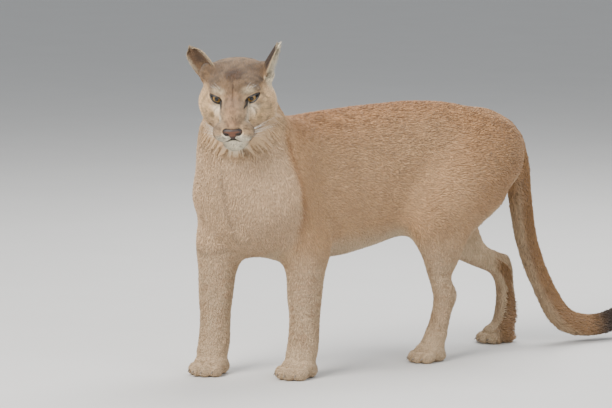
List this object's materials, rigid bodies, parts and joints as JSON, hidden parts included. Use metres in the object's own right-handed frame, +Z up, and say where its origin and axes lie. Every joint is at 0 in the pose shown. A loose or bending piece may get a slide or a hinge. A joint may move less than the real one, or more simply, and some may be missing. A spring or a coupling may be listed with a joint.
{
  "type": "cougar",
  "caption": "Life-size still model of a standing cougar in mid-step, with its head turned to one side and its long tail hanging.",
  "frame": {"origin": "on the floor, under the middle of the animal's own box", "axes": "+Z up; the animal's trunk faces -Y and its tail trails to +Y; +X is the animal's left, to which the head turns"},
  "size_m": [0.4165, 1.3312, 0.8356],
  "materials": {
    "coat": "short dense tawny fur",
    "eye": "wet and glossy, amber iris",
    "nose_leather": "moist pebbled nose leather",
    "claw": "smooth horn",
    "whisker": "fine white bristle"
  },
  "bodies": {
    "root": {"head": "coat", "nose": "nose_leather", "eye_left": "eye", "eye_right": "eye", "ear_left": "coat", "ear_right": "coat", "neck": "coat", "torso": "coat", "foreleg_left": "coat", "foreleg_right": "coat", "hindleg_left": "coat", "hindleg_right": "coat", "forepaw_left": "coat", "forepaw_right": "coat", "hindpaw_left": "coat", "hindpaw_right": "coat", "tail_root": "coat", "tail_middle": "coat", "tail_tip": "coat"}
  },
  "joints": []
}
